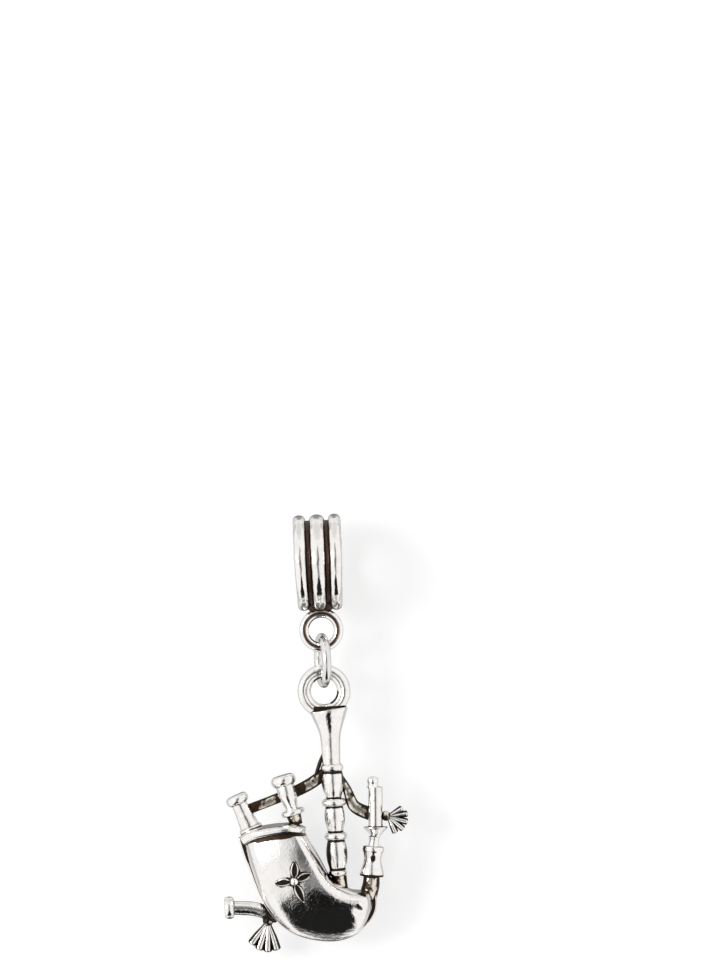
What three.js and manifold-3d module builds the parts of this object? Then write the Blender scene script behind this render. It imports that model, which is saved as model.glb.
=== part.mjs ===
// A bagpipes charm: a small cast-metal set of bagpipes on a split jump ring, which hangs from a
// ribbed slide-on bail. Millimetres, +Z up, the decorated face of the bag towards -Y.
// The origin is the centre of the bail's bore.
import * as THREE from "three";
import { mergeVertices } from "three/addons/utils/BufferGeometryUtils.js";
import Module from "manifold-3d";

const wasm = await Module();
wasm.setup();

// Between neighbouring pieces that touch on the real charm.
const GAP = 0.04;

// Bail: a short tube with three ribs around it and a cast loop below.
const BORE_RADIUS = 3.0;
const GROOVE_RADIUS = 4.15;
const RIB_HEIGHT = 0.65;
const MIDDLE_RIB_WIDTH = 1.75;
const OUTER_RIB_WIDTH = 1.4;
const GROOVE_WIDTH = 0.1;
const BORE_CHAMFER = 0.15;
const BAIL_LOOP = { z: -6.78, radius: 1.725, wire: 0.475, neckWidth: 1.5 };

// Jump ring, turned a little so that its near side shows to the right.
const RING_RADIUS = 2.3;
const RING_WIRE = 0.47;
const RING_YAW = THREE.MathUtils.degToRad(10.5);
const RING_SEAM = 0.06;

// Hanging loop cast on top of the charm.
const HANGING_LOOP = { radius: 1.96, wire: 0.69 };

// The links are taut, so each height follows from the one above.
const RING_TOP = BAIL_LOOP.z - (BAIL_LOOP.radius - BAIL_LOOP.wire) + RING_WIRE + GAP;
const RING_CENTRE = RING_TOP - RING_RADIUS;
const RING_BOTTOM = RING_CENTRE - RING_RADIUS;
const CHARM_HEIGHT = RING_BOTTOM + RING_WIRE + GAP - (HANGING_LOOP.radius - HANGING_LOOP.wire);

// Everything below is measured from the centre of the hanging loop: x to the right, z up.
const SEAM = 0; // the plane where the two halves of the bag meet
const BELL_AXIS_X = 0.43;
const BASS_DRONE = { x: 0.38, z: 0, lean: THREE.MathUtils.degToRad(-0.7) };
const BELL_TILT = THREE.MathUtils.degToRad(-6.5);
const BELL_TOP_Z = -1.86;
const LEFT_TENOR = { x: -7.9, z: -13.45, lean: THREE.MathUtils.degToRad(-22.4) };
const RIGHT_TENOR = { x: -3.63, z: -11.98, lean: THREE.MathUtils.degToRad(-14.2) };
const BLOWPIPE = { x: 4.55, z: -13.9, lean: THREE.MathUtils.degToRad(2.3) };
const BLOWPIPE_STOCK = { x: 4.3, z: -15.6, lean: THREE.MathUtils.degToRad(6.5) };
const BAG_DEPTH = 3.0; // of the front half, at its fullest
const NECK_ARCH = 0.45; // how far the bag's upper end curves up under the band
const CHANTER_Y = 0.78;
const CHANTER_RADIUS = 0.7;
const CORD_THICKNESS = 0.6;
const TURNED_SIDES = 16;

const SILVER = { color: 0xd6d3cf, roughness: 0.22, metalness: 1 };
const OXIDISED = { color: 0x6b5a48, roughness: 0.45, metalness: 0.9 };

// ---- shape helpers ----

function piece(name, geometry, finish = SILVER) {
  const mesh = new THREE.Mesh(geometry, new THREE.MeshStandardMaterial(finish));
  mesh.name = name;
  return mesh;
}

function toSolid(geometry) {
  const bare = geometry.clone();
  bare.deleteAttribute("normal");
  bare.deleteAttribute("uv");
  const merged = mergeVertices(bare, 1e-5);
  const vertProperties = merged.attributes.position.array;
  const triVerts = new Uint32Array(merged.index.array);
  return new wasm.Manifold(new wasm.Mesh({ numProp: 3, vertProperties, triVerts }));
}

function toGeometry(solid) {
  const mesh = solid.getMesh();
  const geometry = new THREE.BufferGeometry();
  geometry.setAttribute("position", new THREE.BufferAttribute(mesh.vertProperties, mesh.numProp));
  geometry.setIndex(new THREE.BufferAttribute(mesh.triVerts, 1));
  return geometry;
}

// What is left of a geometry once its neighbours, with the gap around them, are cut away.
function cut(geometry, ...neighbours) {
  let solid = toSolid(geometry);
  for (const neighbour of neighbours) {
    solid = solid.subtract(toSolid(neighbour));
  }
  return toGeometry(solid);
}

function join(geometries) {
  return toGeometry(geometries.map(toSolid).reduce((whole, part) => whole.add(part)));
}

// The piece together with a copy that is larger by the gap, for cutting room in a neighbour.
function grown(geometry) {
  geometry.computeBoundingBox();
  const centre = geometry.boundingBox.getCenter(new THREE.Vector3());
  const size = geometry.boundingBox.getSize(new THREE.Vector3());
  const copy = geometry.clone().translate(-centre.x, -centre.y, -centre.z);
  copy.scale(1 + (2 * GAP) / size.x, 1 + (2 * GAP) / size.y, 1 + (2 * GAP) / size.z);
  copy.translate(centre.x, centre.y, centre.z);
  return join([geometry, copy]);
}

// A turned piece on the Z axis. The profile is [radius, z] from its lower end to its upper end.
function turned(profile, sides = TURNED_SIDES) {
  const points = profile.map(([radius, z]) => new THREE.Vector2(radius, z));
  return new THREE.LatheGeometry(points, sides).rotateX(Math.PI / 2);
}

// The same, with a smooth curve through the given side and flat ends.
function barrel(side, steps = 8) {
  const curve = new THREE.SplineCurve(side.map(([radius, z]) => new THREE.Vector2(radius, z)));
  const smooth = curve.getPoints(steps).map((point) => [point.x, point.y]);
  return turned([[0, side[0][1]], ...smooth, [0, side.at(-1)[1]]]);
}

// A disc with a rounded rim, centred on the given height.
function collar(radius, height, z = 0) {
  const half = height / 2;
  const profile = [[0, z - half]];
  for (let step = 0; step <= 4; step += 1) {
    const angle = ((step - 2) * Math.PI) / 4;
    profile.push([radius - half + half * Math.cos(angle), z + half * Math.sin(angle)]);
  }
  profile.push([0, z + half]);
  return turned(profile);
}

// A closed skin over a row of sections that all have the same number of points.
function loft(sections) {
  const count = sections[0].length;
  const points = sections.flat();
  const index = [];
  for (let row = 0; row < sections.length - 1; row += 1) {
    for (let at = 0; at < count; at += 1) {
      const a = row * count + at;
      const b = row * count + ((at + 1) % count);
      index.push(a, b, a + count, b, b + count, a + count);
    }
  }
  for (const [row, flip] of [[0, true], [sections.length - 1, false]]) {
    const centre = new THREE.Vector3();
    sections[row].forEach((point) => centre.addScaledVector(point, 1 / count));
    points.push(centre);
    for (let at = 0; at < count; at += 1) {
      const a = row * count + at;
      const b = row * count + ((at + 1) % count);
      index.push(...(flip ? [points.length - 1, b, a] : [points.length - 1, a, b]));
    }
  }
  return new THREE.BufferGeometry().setFromPoints(points).setIndex(index);
}

// A rod along a smooth curve in the XZ plane, with an oval section that may change on the way.
// Each stop is [x, z, half width in the XZ plane, half depth along Y].
function rod(stops, y, steps = 8, sides = 8) {
  const path = new THREE.SplineCurve(stops.map(([x, z]) => new THREE.Vector2(x, z)));
  const girth = new THREE.SplineCurve(stops.map((stop) => new THREE.Vector2(stop[2], stop[3])));
  const sections = [];
  for (let step = 0; step <= steps; step += 1) {
    const at = path.getPoint(step / steps);
    const along = path.getTangent(step / steps);
    const half = girth.getPoint(step / steps);
    const section = [];
    for (let side = 0; side < sides; side += 1) {
      const angle = ((side + 0.5) / sides) * 2 * Math.PI;
      const across = half.x * Math.cos(angle);
      const depth = -half.y * Math.sin(angle);
      section.push(new THREE.Vector3(at.x - along.y * across, y + depth, at.y + along.x * across));
    }
    sections.push(section);
  }
  return loft(sections);
}

// A flat cord along a curve in the XZ plane. Each stop is [x, z, half width].
function flatCord(stops, y, steps = 8) {
  const half = CORD_THICKNESS / 2;
  const squareSides = 4;
  const diagonal = Math.SQRT2;
  return rod(
    stops.map(([x, z, width]) => [x, z, width * diagonal, half * diagonal]),
    y, steps, squareSides,
  );
}

// A group that stands at a place with its axis leaning in the XZ plane.
function standing({ x, z, lean }) {
  const group = new THREE.Group();
  group.position.set(x, 0, z);
  group.rotation.y = lean;
  group.updateMatrix();
  return group;
}

// A round clearance around a standing group's axis.
function clearance(group, radius, low, high) {
  const cylinder = turned([[0, low], [radius, low], [radius, high], [0, high]], 24);
  return cylinder.applyMatrix4(group.matrix);
}

// ---- bail ----

function bailProfile(grow) {
  const halfWidth = MIDDLE_RIB_WIDTH / 2 + GROOVE_WIDTH + OUTER_RIB_WIDTH;
  const outerCentre = halfWidth - OUTER_RIB_WIDTH / 2;
  const ribs = [
    [-outerCentre, OUTER_RIB_WIDTH / 2],
    [0, MIDDLE_RIB_WIDTH / 2],
    [outerCentre, OUTER_RIB_WIDTH / 2],
  ];
  const profile = [[BORE_RADIUS, -halfWidth + BORE_CHAMFER], [BORE_RADIUS + BORE_CHAMFER, -halfWidth]];
  for (const [centre, half] of ribs) {
    for (let step = 0; step <= 6; step += 1) {
      const angle = (step * Math.PI) / 6;
      const height = RIB_HEIGHT * Math.sin(angle) ** 0.8;
      profile.push([GROOVE_RADIUS + height + grow, centre - half * Math.cos(angle)]);
    }
  }
  profile.push([BORE_RADIUS + BORE_CHAMFER, halfWidth], [BORE_RADIUS, halfWidth - BORE_CHAMFER]);
  profile.push(profile[0]);
  return profile;
}

function bailTube(grow = 0) {
  const points = bailProfile(grow).map(([radius, x]) => new THREE.Vector2(radius, x));
  return new THREE.LatheGeometry(points, 32).rotateZ(-Math.PI / 2);
}

function bailLoop() {
  const { z, radius, wire, neckWidth } = BAIL_LOOP;
  const ring = new THREE.TorusGeometry(radius, wire, 10, 24).rotateX(Math.PI / 2).translate(0, 0, z);
  const neckTop = -GROOVE_RADIUS;
  const neckBottom = z + radius - wire / 2;
  const neck = new THREE.BoxGeometry(neckWidth, 1.6 * wire, neckTop - neckBottom);
  neck.translate(0, 0, (neckTop + neckBottom) / 2);
  return cut(join([ring, neck]), bailTube(GAP));
}

// ---- jump ring: a circle of round wire with a narrow seam at the back ----

class RingPath extends THREE.Curve {
  getPoint(t) {
    const halfSeam = RING_SEAM / 2 / RING_RADIUS;
    const angle = halfSeam + t * 2 * (Math.PI - halfSeam);
    return new THREE.Vector3(0, RING_RADIUS * Math.cos(angle), RING_RADIUS * Math.sin(angle));
  }
}

function jumpRing() {
  const section = new THREE.Shape().absarc(0, 0, RING_WIRE, 0, 2 * Math.PI);
  const options = { extrudePath: new RingPath(), steps: 36, curveSegments: 5, bevelEnabled: false };
  return new THREE.ExtrudeGeometry(section, options).rotateZ(RING_YAW);
}

// ---- bass drone: hanging loop, bell, then collars and beads down to the bag ----

// A block that fills one side of the tilted plane between the hanging loop and the bell.
function besideBellPlane(side) {
  const size = 8;
  const block = new THREE.BoxGeometry(size, size, size).translate(0, 0, (side * (size - GAP)) / 2);
  return block.rotateY(BELL_TILT).translate(BELL_AXIS_X, 0, BELL_TOP_Z);
}

function hangingLoop() {
  const { radius, wire } = HANGING_LOOP;
  const ring = new THREE.TorusGeometry(radius, wire, 10, 24).rotateX(Math.PI / 2);
  return cut(ring, besideBellPlane(-1));
}

function droneBell() {
  const side = [[0.9, -7.26], [0.94, -5.6], [1.06, -4.3], [1.6, -2.75], [1.87, -1.9], [1.9, -1]];
  const bell = barrel(side, 9).translate(BELL_AXIS_X, 0, 0);
  return cut(bell, besideBellPlane(1));
}

function bassDrone() {
  const group = standing(BASS_DRONE);
  const collars = [[1.13, 0.78, -7.69], [1.24, 0.75, -11.165], [1.15, 0.74, -14.55], [0.92, 0.6, -18.22]];
  const beads = [
    [[0.74, -10.75], [0.86, -10.3], [1.15, -9.2], [0.98, -8.12]],
    [[0.77, -14.14], [0.86, -13.7], [1.01, -12.7], [0.84, -11.58]],
    [[0.8, -17.88], [0.9, -17.5], [1.06, -16.3], [0.85, -14.96]],
  ];
  collars.forEach(([radius, height, z], at) => {
    group.add(piece(`bass_drone_collar_${at + 1}`, collar(radius, height, z)));
  });
  beads.forEach((side, at) => {
    group.add(piece(`bass_drone_bead_${at + 1}`, barrel(side, 7)));
  });
  return group;
}

// ---- bag: two pillow-shaped halves that meet at the seam plane, under a band ----

// One half of the bag between its left and right outlines. towards is -1 for the front.
function bagHalf(left, right, depth, towards) {
  const [leftEdge, rightEdge] = [left, right].map(
    (outline) => new THREE.SplineCurve(outline.map(([x, z]) => new THREE.Vector2(x, z))),
  );
  const rows = 16;
  const across = 10;
  const seam = SEAM + (towards * GAP) / 2;
  const sections = [];
  for (let row = 0; row <= rows; row += 1) {
    const t = row / rows;
    const a = leftEdge.getPoint(t);
    const b = rightEdge.getPoint(t);
    const bulge = depth * (0.86 + 0.34 * t - 0.36 * t * t) * Math.sqrt(1 - t ** 5);
    const arch = NECK_ARCH * (1 - t) ** 4;
    const section = [];
    for (let step = 0; step <= across; step += 1) {
      const u = -Math.cos((step * Math.PI) / across);
      const thinning = u < 0 ? 0.5 * t : 0; // towards the bag's lower edge
      const height = bulge * (1 - Math.abs(u) ** (2.6 - thinning)) ** (0.6 + thinning);
      const at = a.clone().lerp(b, (u + 1) / 2);
      section.push(new THREE.Vector3(at.x, seam + towards * height, at.y + arch * (1 - u * u)));
    }
    sections.push(towards > 0 ? section : section.reverse());
  }
  return loft(sections);
}

const FRONT_LEFT = [
  [-8.65, -14.5], [-8.1, -17.2], [-6.6, -21.5], [-4.1, -24.1], [-0.4, -25.05], [2.4, -24.3],
  [3.7, -22.2], [3.85, -20.95],
];
const FRONT_RIGHT = [
  [-2.6, -13.9], [-1.25, -16.5], [-0.1, -18.65], [1.5, -19.75], [2.9, -20.05], [3.6, -20.35],
  [3.85, -20.95],
];
const BACK_LEFT = [
  [-9.25, -14.3], [-8.35, -17.4], [-6.6, -21.6], [-4.1, -24.1], [-0.4, -25.0], [2.7, -24.0],
  [4.25, -22.2], [4.3, -19.9],
];
const BACK_RIGHT = [
  [-2.55, -13.9], [-1.2, -16.5], [-0.1, -18.6], [1.5, -19.7], [2.9, -20.0], [3.7, -19.8],
  [4.3, -19.9],
];

// The band is a rounded cuff over the bag's neck. It is deepest in the middle, and its middle is
// forward of the seam because the front half of the bag is the deeper one.
function bagBand() {
  const forward = 0.3;
  const stops = [
    [-8.75, -14.55, 0.5, 1.05], [-7.6, -13.95, 0.6, 2.0], [-5.7, -13.65, 0.6, 2.55],
    [-3.9, -13.55, 0.52, 2.35], [-2.6, -13.8, 0.35, 1.2],
  ];
  return rod(stops, SEAM - forward, 12, 12);
}

// ---- flower on the bag ----

const FLOWER = { x: -3.75, y: -0.9 * BAG_DEPTH, z: -18.66, height: 0.22, studRadius: 0.42 };
const PETALS = [
  ["right", 22, 1.95], ["up", 86, 2.1], ["left", 184, 2.05], ["down", 292, 2.4],
];

// A pointed petal standing out from the front of the bag by the flower's height.
function petal(angleDeg, length, bagFront) {
  const start = 0.5;
  const halfWidth = 0.5;
  const outline = new THREE.Shape();
  outline.moveTo(start, 0);
  outline.quadraticCurveTo((start + length) / 2, halfWidth * 2, length, 0);
  outline.quadraticCurveTo((start + length) / 2, -halfWidth * 2, start, 0);
  const depth = BAG_DEPTH + 1;
  const prism = new THREE.ExtrudeGeometry(outline, { depth, curveSegments: 4, bevelEnabled: false });
  prism.rotateZ(THREE.MathUtils.degToRad(angleDeg)).rotateX(Math.PI / 2);
  prism.translate(FLOWER.x, 0, FLOWER.z);
  const outer = toSolid(bagFront.clone().translate(0, -GAP - FLOWER.height, 0));
  const inner = toSolid(bagFront.clone().translate(0, -GAP, 0));
  return toGeometry(toSolid(prism).intersect(outer).subtract(inner));
}

function flowerStud(bagFront) {
  const { x, y, z, studRadius } = FLOWER;
  const ball = new THREE.SphereGeometry(studRadius, 10, 6).translate(x, y, z);
  return cut(ball, bagFront.clone().translate(0, -GAP, 0));
}

// ---- tassels: strands that fan out from a knot ----

// Strands run from the knot in the given directions. Each is [angle in degrees, length].
function tasselFan([x, z], y, strands, tipRadius) {
  return join(strands.map(([angleDeg, length]) => {
    const angle = THREE.MathUtils.degToRad(angleDeg);
    const along = [Math.cos(angle), Math.sin(angle)];
    const stop = (share, width, depth) => [
      x + along[0] * length * share, z + along[1] * length * share, width, depth,
    ];
    return rod([stop(0, 0.2, 0.3), stop(0.55, 0.75 * tipRadius, 0.36), stop(1, tipRadius, 0.4)], y, 3, 6);
  }));
}

// ---- assembly ----

const charm = new THREE.Group();
charm.position.z = CHARM_HEIGHT;

const bail = new THREE.Group();
bail.add(piece("bail_tube", bailTube()));
bail.add(piece("bail_loop", bailLoop()));

const ring = piece("jump_ring", jumpRing());
ring.position.z = RING_CENTRE;

charm.add(piece("hanging_loop", hangingLoop()));
charm.add(piece("bass_drone_bell", droneBell()));
charm.add(bassDrone());

const bagFront = bagHalf(FRONT_LEFT, FRONT_RIGHT, BAG_DEPTH, -1);
const bagBack = bagHalf(BACK_LEFT, BACK_RIGHT, 0.75 * BAG_DEPTH, 1);
const leftTenor = standing(LEFT_TENOR);
const rightTenor = standing(RIGHT_TENOR);
const blowpipe = standing(BLOWPIPE);
const blowpipeStock = standing(BLOWPIPE_STOCK);

const band = cut(
  bagBand(),
  clearance(leftTenor, 1.24, -0.24, 2),
  clearance(rightTenor, 0.8, -1.16, 0),
);
charm.add(piece("bag_front", cut(bagFront, grown(bagBand()), clearance(leftTenor, 1.24, -0.24, 2))));
charm.add(piece("bag_back", cut(bagBack, grown(bagBand()), clearance(leftTenor, 1.24, -0.24, 2))));
charm.add(piece("bag_band", band));
for (const [side, angle, length] of PETALS) {
  charm.add(piece(`flower_petal_${side}`, petal(angle, length, bagFront), OXIDISED));
}
charm.add(piece("flower_stud", flowerStud(bagFront)));

leftTenor.add(piece("left_tenor_foot", collar(1.2, 0.4)));
leftTenor.add(piece("left_tenor_body", barrel([[0.98, 0.24], [0.9, 1.2], [0.77, 2.72]], 5)));
leftTenor.add(piece("left_tenor_cap", collar(1.15, 0.95, 3.24)));
charm.add(leftTenor);

rightTenor.add(piece("right_tenor_stock", barrel([[0.62, -1.12], [0.76, -0.32]], 2), OXIDISED));
rightTenor.add(piece("right_tenor_collar", collar(1.2, 0.56)));
rightTenor.add(piece(
  "right_tenor_barrel",
  barrel([[0.75, 0.32], [0.62, 0.62], [1.02, 1.95], [0.92, 2.72]], 8),
));
rightTenor.add(piece("right_tenor_cap", collar(1.26, 1.1, 3.31)));
charm.add(rightTenor);

blowpipe.add(piece("blowpipe_cup", barrel([[0.5, -0.9], [0.6, -0.6], [1.18, 0], [1.2, 0.1]], 5)));
blowpipe.add(piece("blowpipe_tube", barrel([[0.73, 0.14], [0.73, 4.1]], 2)));
blowpipe.add(piece("blowpipe_mouthpiece", barrel([[0.62, 4.14], [0.5, 4.35], [0.55, 4.7], [0.3, 5.1]], 6)));
charm.add(blowpipe);

blowpipeStock.add(piece("blowpipe_neck", barrel([[0.62, -0.12], [0.5, 0.3], [0.55, 0.76]], 4)));
blowpipeStock.add(piece(
  "blowpipe_stock",
  barrel([[1.2, -3.1], [1.14, -2.5], [0.85, -1.3], [1.05, -0.5], [1.02, -0.16]], 9),
));
charm.add(blowpipeStock);

const elbow = rod([[3.95, -18.85, 0.8, 0.8], [3.85, -19.6, 0.85, 0.85], [3.5, -20.7, 0.9, 0.9]], 0.45, 5);
charm.add(piece("blowpipe_elbow", cut(elbow, grown(bagFront), grown(bagBack)), OXIDISED));

const stock = rod([[0.68, -18.64, 0.76, 0.76], [0.75, -19.2, 0.74, 0.74], [0.85, -19.9, 0.7, 0.7]], 0.2, 4);
charm.add(piece("bass_drone_stock", cut(stock, grown(bagFront), grown(bagBack)), OXIDISED));

const chanterTube = rod(
  [
    [-9.9, -21.33, CHANTER_RADIUS, CHANTER_RADIUS], [-8.4, -21.45, CHANTER_RADIUS, CHANTER_RADIUS],
    [-7.2, -21.75, CHANTER_RADIUS, CHANTER_RADIUS], [-6.0, -22.3, 0.65, 0.65],
  ],
  CHANTER_Y, 8, 12,
);
charm.add(piece("chanter_tube", cut(chanterTube, grown(bagBack))));
const chanterBell = collar(1.13, 0.95).rotateY(Math.PI / 2).translate(-10.42, CHANTER_Y, -21.3);
charm.add(piece("chanter_bell", chanterBell));

const leftKnot = new THREE.SphereGeometry(0.55, 12, 8).translate(-6.6, CHANTER_Y, -22.75);
charm.add(piece("left_tassel_knot", cut(leftKnot, grown(chanterTube), grown(bagBack)), OXIDISED));
const leftFan = tasselFan(
  [-6.6, -22.9], CHANTER_Y,
  [[-130, 2.6], [-111, 2.75], [-93, 2.8], [-75, 2.75]], 0.42,
);
charm.add(piece("left_tassel_strands", cut(leftFan, grown(leftKnot), grown(bagBack))));

const rightKnot = new THREE.SphereGeometry(0.5, 12, 8).translate(5.65, 0.2, -12.75);
const blowpipeRoom = clearance(blowpipe, 0.77, 0.1, 4.1);
charm.add(piece("right_tassel_knot", cut(rightKnot, blowpipeRoom), OXIDISED));
const rightFan = tasselFan(
  [5.8, -12.8], 0.2,
  [[38, 1.45], [10, 1.85], [-18, 1.95], [-44, 1.9], [-70, 1.7]], 0.34,
);
charm.add(piece("right_tassel_strands", cut(rightFan, grown(rightKnot), blowpipeRoom)));

// ---- cords that tie the drones together ----

const bassRoom = clearance(standing(BASS_DRONE), 1.19, -12, -5);
const leftTenorRoom = clearance(leftTenor, 0.86, 0, 3);
const rightTenorRoom = clearance(rightTenor, 1.06, 0, 3);
const leftCord = flatCord([[-8.8, -11.76, 0.53], [-3.95, -10.14, 0.53]], 0.2, 4);
const middleCord = flatCord([[-4.0, -10.3, 0.55], [-1.75, -9.2, 0.6], [0.3, -7.8, 0.55]], 0.2, 6);
const rightCord = flatCord(
  [[0.7, -7.9, 0.4], [1.85, -9.9, 0.45], [2.6, -11.7, 0.62], [4.6, -12.65, 0.7]], 0.2, 8,
);
const cordTail = flatCord([[-1.3, -8.7, 0.14], [-0.8, -7.35, 0.2], [-0.34, -6.2, 0.12]], 0.2, 5);
charm.add(piece("drone_cord_left", cut(leftCord, leftTenorRoom, rightTenorRoom), OXIDISED));
charm.add(piece("drone_cord_middle", cut(middleCord, rightTenorRoom, bassRoom), OXIDISED));
charm.add(piece("drone_cord_right", cut(rightCord, bassRoom, blowpipeRoom), OXIDISED));
charm.add(piece("drone_cord_tail", cut(cordTail, grown(middleCord), grown(droneBell())), OXIDISED));

const object = new THREE.Group();
object.add(bail, ring, charm);

export default object;
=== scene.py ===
"""A cast bagpipes charm on a jump ring and a slide-on bail, in polished antique silver.

Shapes are in millimetres and turned into metres when a piece's mesh is made. Everything on the
charm is measured from the centre of its hanging loop: x to the right, z up, front towards -Y.
"""
import math

import bpy
import numpy as np
from mathutils import Matrix, Vector, noise
from mathutils.bvhtree import BVHTree


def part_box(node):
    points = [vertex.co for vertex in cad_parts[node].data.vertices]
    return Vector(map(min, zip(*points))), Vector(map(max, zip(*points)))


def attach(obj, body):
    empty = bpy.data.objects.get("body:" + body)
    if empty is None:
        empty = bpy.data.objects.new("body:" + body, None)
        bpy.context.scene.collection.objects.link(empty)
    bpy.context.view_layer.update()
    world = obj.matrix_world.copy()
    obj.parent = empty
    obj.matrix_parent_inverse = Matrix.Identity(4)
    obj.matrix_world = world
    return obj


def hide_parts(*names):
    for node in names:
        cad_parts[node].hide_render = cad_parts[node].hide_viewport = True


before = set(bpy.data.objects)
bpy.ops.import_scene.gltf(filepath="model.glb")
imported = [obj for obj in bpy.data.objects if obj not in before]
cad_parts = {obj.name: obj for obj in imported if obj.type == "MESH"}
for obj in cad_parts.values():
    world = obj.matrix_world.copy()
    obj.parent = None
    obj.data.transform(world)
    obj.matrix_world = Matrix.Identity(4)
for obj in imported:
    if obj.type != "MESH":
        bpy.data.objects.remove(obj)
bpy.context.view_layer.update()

MM = 0.001
SIDES = 96  # around a turned shape
STEP = 0.1  # between points along a profile, in mm
NEAR_AXIS = 0.03  # radius at which a turned shape's flat end starts, in mm


def node_box(node):
    """Lowest and highest corner of a CAD node, in mm."""
    low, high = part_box(node)
    return np.array(low) / MM, np.array(high) / MM


# ---- places, from the frame ----

HANGING_LOOP = {"outer": 2.65, "inner": 1.3, "half_depth": 0.68}
BAIL_LOOP = {"outer": 2.2, "inner": 1.25, "half_depth": 0.46}
RING_WIRE = 0.47

CHARM = np.array([0, 0, node_box("hanging_loop")[1][2] - HANGING_LOOP["outer"]])
LOOP_LOW, LOOP_HIGH = node_box("bail_loop")
BAIL_LOOP_Z = LOOP_LOW[2] + (LOOP_HIGH[0] - LOOP_LOW[0]) / 2
RING_LOW, RING_HIGH = node_box("jump_ring")
RING_Z = (RING_LOW[2] + RING_HIGH[2]) / 2
RING_RADIUS = (RING_HIGH[2] - RING_LOW[2]) / 2 - RING_WIRE
RING_YAW = 10.5  # degrees that the jump ring is turned from square to the bail
RING_SEAM = 0.06

BASS_DRONE = {"x": 0.38, "z": 0, "lean": -0.7}
LEFT_TENOR = {"x": -7.9, "z": -13.45, "lean": -22.4}
RIGHT_TENOR = {"x": -3.63, "z": -11.98, "lean": -14.2}
BLOWPIPE = {"x": 4.55, "z": -13.9, "lean": 2.3}
BLOWPIPE_STOCK = {"x": 4.3, "z": -15.6, "lean": 6.5}
BAG_DEPTH = 3.2  # from the seam to the fullest point of its front
CHANTER_Y = 0.78
CORD_Y = 0.2
OVERLAP = 0.1  # how far a bead runs into the collar above and below it


# ---- shape helpers ----

class Skin:
    """Points (mm), faces and, for each point, how much darker it is on top of what its crevices do: oxide,
    and at some places painted shade.
    """

    def __init__(self, points, faces, oxide_and_shade=None):
        self.points = np.asarray(points, float)
        self.faces = faces
        self.oxide_and_shade = np.zeros(len(self.points)) if oxide_and_shade is None else np.asarray(oxide_and_shade, float)

    def moved(self, x=0, y=0, z=0):
        return Skin(self.points + (x, y, z), self.faces, self.oxide_and_shade)

    def turned(self, degrees, axis):
        matrix = np.array(Matrix.Rotation(math.radians(degrees), 3, axis))
        return Skin(self.points @ matrix.T, self.faces, self.oxide_and_shade)

    def standing(self, place):
        return self.turned(place["lean"], "Y").moved(x=place["x"], z=place["z"])

    def darkened(self, rule):
        """Adds rule(x, y, z), from 0 to 1, to the darkening, which holds oxide and at some places painted
        shade.
        """
        return Skin(self.points, self.faces, np.maximum(self.oxide_and_shade, rule(*self.points.T)))


def smooth(value, low, high):
    """0 below low, 1 above high and smooth between."""
    share = np.clip((np.asarray(value, float) - low) / (high - low), 0, 1)
    return share * share * (3 - 2 * share)


def spline(points, count):
    """count points along the smooth curve through the given ones."""
    points = np.asarray(points, float)
    last = len(points) - 1
    where = np.linspace(0, 1, count) * last if np.isscalar(count) else np.asarray(count) * last
    left = np.minimum(where.astype(int), last - 1)
    t = (where - left)[:, None]
    before, start = points[np.maximum(left - 1, 0)], points[left]
    end, after = points[left + 1], points[np.minimum(left + 2, last)]
    leave, arrive = (end - before) / 2, (after - start) / 2
    cubic = 2 * start - 2 * end + leave + arrive
    square = -3 * start + 3 * end - 2 * leave - arrive
    return cubic * t**3 + square * t**2 + leave * t + start


def rounded(corners, radius):
    """The same line with its inner corners rounded and its straight parts cut into short steps."""
    most = 0.48  # of a straight part that the rounding of one of its corners takes
    turn_points = 6
    corners = [np.asarray(corner, float) for corner in corners]
    line = [corners[0]]
    for before, corner, after in zip(corners, corners[1:], corners[2:]):
        ways = [side - corner for side in (before, after)]
        lengths = [np.linalg.norm(way) for way in ways]
        reach = min(radius, most * min(lengths))
        start, end = (corner + way / length * reach for way, length in zip(ways, lengths))
        for t in np.linspace(0, 1, turn_points):
            line.append((1 - t) ** 2 * start + 2 * t * (1 - t) * corner + t**2 * end)
    line.append(corners[-1])
    fine = [line[0]]
    for start, end in zip(line, line[1:]):
        steps = max(1, math.ceil(np.linalg.norm(end - start) / STEP))
        fine += [start + (end - start) * step / steps for step in range(1, steps + 1)]
    return np.array(fine)


def skin(rows, oxide_and_shade=None):
    """A closed skin over rings of points, with a fan over the first and last ring."""
    rows = np.asarray(rows, float)
    count, around = rows.shape[:2]
    points = np.concatenate([rows.reshape(-1, 3), [rows[0].mean(0)], [rows[-1].mean(0)]])
    at = np.arange(around)
    after = (at + 1) % around
    faces = []
    for row in range(count - 1):
        low, high = row * around, (row + 1) * around
        faces += np.column_stack([low + at, low + after, high + after, high + at]).tolist()
    first, last = count * around, count * around + 1
    faces += [[first, b, a] for a, b in zip(at.tolist(), after.tolist())]
    faces += [[last, (count - 1) * around + a, (count - 1) * around + b]
              for a, b in zip(at.tolist(), after.tolist())]
    if oxide_and_shade is not None:
        oxide_and_shade = np.asarray(oxide_and_shade, float)
        oxide_and_shade = np.concatenate([oxide_and_shade.reshape(-1), [oxide_and_shade[0].mean()], [oxide_and_shade[-1].mean()]])
    return Skin(points, faces, oxide_and_shade)


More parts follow.
